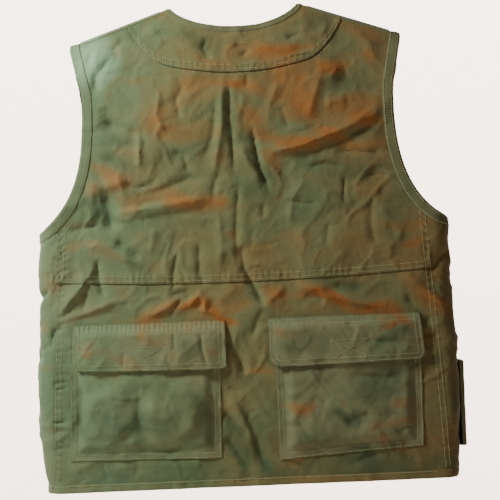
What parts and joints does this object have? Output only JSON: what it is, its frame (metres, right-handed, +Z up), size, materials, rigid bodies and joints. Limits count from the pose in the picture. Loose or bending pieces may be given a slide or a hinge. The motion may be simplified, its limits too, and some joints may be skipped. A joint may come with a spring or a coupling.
{
  "type": "fishing vest",
  "caption": "Sleeveless cotton twill fishing vest with a curved back yoke, bound armholes, zip front and flapped bellows pockets on back and fronts.",
  "frame": {"origin": "the point inside the hang loop at the back neck where a hook carries the vest, at the height of the loop's lower edge", "axes": "+Z up towards the neck, -Y out of the zip front, +Y out of the back, +X towards the wearer's left"},
  "size_m": [0.589, 0.1212, 0.6566],
  "materials": {
    "body_twill": "washed cotton twill, matt",
    "pocket_twill": "washed cotton twill, matt, doubled",
    "binding_twill": "folded twill binding, matt",
    "hook_tape": "woven nylon hook and loop tape",
    "zip_tape": "woven polyester tape with moulded teeth",
    "zip_metal": "aged brass",
    "zip_plastic": "moulded acetal"
  },
  "bodies": {
    "root": {"back_yoke": "body_twill", "back_upper_panel": "body_twill", "back_lower_panel": "body_twill", "back_hem_band": "body_twill", "back_neck_binding": "binding_twill", "hang_loop": "binding_twill", "side_pocket_right": "pocket_twill", "shoulder_tape_left": "binding_twill", "armhole_binding_left": "binding_twill", "side_panel_left": "body_twill", "back_pocket_left": "pocket_twill", "back_pocket_loop_patch_left": "hook_tape", "shoulder_tape_right": "binding_twill", "armhole_binding_right": "binding_twill", "side_panel_right": "body_twill", "back_pocket_right": "pocket_twill", "back_pocket_loop_patch_right": "hook_tape"},
    "front_left": {"front_panel_left": "body_twill", "front_hem_band_left": "body_twill", "front_neck_binding_left": "binding_twill", "front_facing_left": "body_twill", "front_zip_tape_left": "zip_tape", "front_zip_top_stop_left": "zip_metal", "chest_pocket_left": "pocket_twill", "chest_pocket_loop_patch_left": "hook_tape", "cargo_pocket_left": "pocket_twill", "cargo_pocket_loop_patch_left": "hook_tape", "zip_retainer_box": "zip_plastic"},
    "back_flap_body_left": {"back_flap_left": "pocket_twill", "back_flap_hook_patch_left": "hook_tape"},
    "chest_flap_body_left": {"chest_flap_left": "pocket_twill", "chest_flap_hook_patch_left": "hook_tape"},
    "cargo_flap_body_left": {"cargo_flap_left": "pocket_twill", "cargo_flap_hook_patch_left": "hook_tape"},
    "front_right": {"front_panel_right": "body_twill", "front_hem_band_right": "body_twill", "front_neck_binding_right": "binding_twill", "front_facing_right": "body_twill", "front_zip_tape_right": "zip_tape", "front_zip_top_stop_right": "zip_metal", "chest_pocket_right": "pocket_twill", "chest_pocket_loop_patch_right": "hook_tape", "cargo_pocket_right": "pocket_twill", "cargo_pocket_loop_patch_right": "hook_tape", "zip_pin": "zip_plastic"},
    "back_flap_body_right": {"back_flap_right": "pocket_twill", "back_flap_hook_patch_right": "hook_tape"},
    "chest_flap_body_right": {"chest_flap_right": "pocket_twill", "chest_flap_hook_patch_right": "hook_tape"},
    "cargo_flap_body_right": {"cargo_flap_right": "pocket_twill", "cargo_flap_hook_patch_right": "hook_tape"},
    "zip_slider_body": {"zip_slider": "zip_metal"},
    "zip_pull_body": {"zip_pull": "zip_metal"}
  },
  "joints": [
    {"name": "front_fold_left", "type": "hinge", "parent": "root", "child": "front_left", "pos_m": [0.095, -0.01462, 0.042], "axis": [-0.2432, 0.0149, 0.9699], "range_deg": [0, 90]},
    {"name": "back_flap_hinge_left", "type": "hinge", "parent": "root", "child": "back_flap_body_left", "pos_m": [0.1375, 0.02248, -0.38], "axis": [1, 0, 0], "range_deg": [0, 120]},
    {"name": "chest_flap_hinge_left", "type": "hinge", "parent": "front_left", "child": "chest_flap_body_left", "pos_m": [0.084, -0.02848, -0.177], "axis": [-0.99, -0.1409, 0], "range_deg": [0, 120]},
    {"name": "cargo_flap_hinge_left", "type": "hinge", "parent": "front_left", "child": "cargo_flap_body_left", "pos_m": [0.107, -0.03675, -0.403], "axis": [-0.99, -0.1409, 0], "range_deg": [0, 120]},
    {"name": "front_fold_right", "type": "hinge", "parent": "root", "child": "front_right", "pos_m": [-0.095, -0.01462, 0.042], "axis": [-0.2432, -0.0149, -0.9699], "range_deg": [0, 90]},
    {"name": "back_flap_hinge_right", "type": "hinge", "parent": "root", "child": "back_flap_body_right", "pos_m": [-0.1375, 0.02248, -0.38], "axis": [1, 0, 0], "range_deg": [0, 120]},
    {"name": "chest_flap_hinge_right", "type": "hinge", "parent": "front_right", "child": "chest_flap_body_right", "pos_m": [-0.084, -0.02848, -0.177], "axis": [-0.99, 0.1409, 0], "range_deg": [0, 120]},
    {"name": "cargo_flap_hinge_right", "type": "hinge", "parent": "front_right", "child": "cargo_flap_body_right", "pos_m": [-0.107, -0.03675, -0.403], "axis": [-0.99, 0.1409, 0], "range_deg": [0, 120]},
    {"name": "zip_slide", "type": "slide", "parent": "front_left", "child": "zip_slider_body", "axis": [0, 0.051, 0.9987], "range_m": [0, 0.43]},
    {"name": "zip_pull_swing", "type": "hinge", "parent": "zip_slider_body", "child": "zip_pull_body", "pos_m": [0.0053, -0.06212, -0.573], "axis": [-0.99, -0.1409, 0], "range_deg": [0, 160]}
  ]
}
